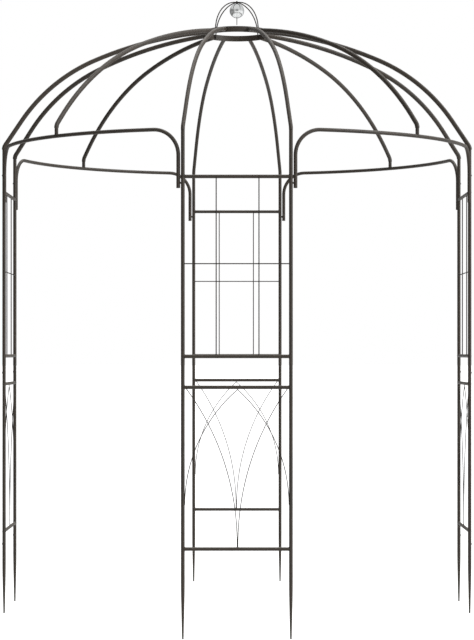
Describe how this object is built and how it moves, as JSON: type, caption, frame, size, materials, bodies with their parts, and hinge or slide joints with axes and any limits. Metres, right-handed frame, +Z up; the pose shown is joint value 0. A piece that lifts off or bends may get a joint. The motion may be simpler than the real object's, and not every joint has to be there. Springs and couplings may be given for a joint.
{
  "type": "metal garden pavilion",
  "caption": "Round open pavilion of dark coated tube: lattice side panels, arched open bays between them and a ribbed dome with an open crown that holds a polished ball.",
  "frame": {"origin": "centre of the plan, at the level of the tips of the ground spikes", "axes": "+Z up; -Y towards the front panel; +X to the right seen from the front"},
  "size_m": [2.524, 2.524, 3.3344],
  "materials": {
    "coated_steel": "dark brown-grey powder coat, satin",
    "coated_wire": "dark brown-grey powder coat on thin wire, satin",
    "polished_steel": "bright polished stainless steel, mirror-like"
  },
  "bodies": {
    "root": {"front_spikes": "coated_steel", "front_lower_posts": "coated_steel", "front_upper_posts": "coated_steel", "front_lower_rungs": "coated_steel", "front_upper_rungs": "coated_steel", "front_lower_lattice": "coated_wire", "front_upper_lattice": "coated_wire", "front_ribs": "coated_steel", "right_spikes": "coated_steel", "right_lower_posts": "coated_steel", "right_upper_posts": "coated_steel", "right_lower_rungs": "coated_steel", "right_upper_rungs": "coated_steel", "right_lower_lattice": "coated_wire", "right_upper_lattice": "coated_wire", "right_ribs": "coated_steel", "back_spikes": "coated_steel", "back_lower_posts": "coated_steel", "back_upper_posts": "coated_steel", "back_lower_rungs": "coated_steel", "back_upper_rungs": "coated_steel", "back_lower_lattice": "coated_wire", "back_upper_lattice": "coated_wire", "back_ribs": "coated_steel", "left_spikes": "coated_steel", "left_lower_posts": "coated_steel", "left_upper_posts": "coated_steel", "left_lower_rungs": "coated_steel", "left_upper_rungs": "coated_steel", "left_lower_lattice": "coated_wire", "left_upper_lattice": "coated_wire", "left_ribs": "coated_steel", "front_right_bay_arch": "coated_steel", "back_right_bay_arch": "coated_steel", "back_left_bay_arch": "coated_steel", "front_left_bay_arch": "coated_steel", "front_right_rib": "coated_steel", "back_right_rib": "coated_steel", "back_left_rib": "coated_steel", "front_left_rib": "coated_steel", "crown_ring": "coated_steel", "crown_arches": "coated_wire", "finial_ball": "polished_steel", "finial_rod": "coated_steel"}
  },
  "joints": []
}
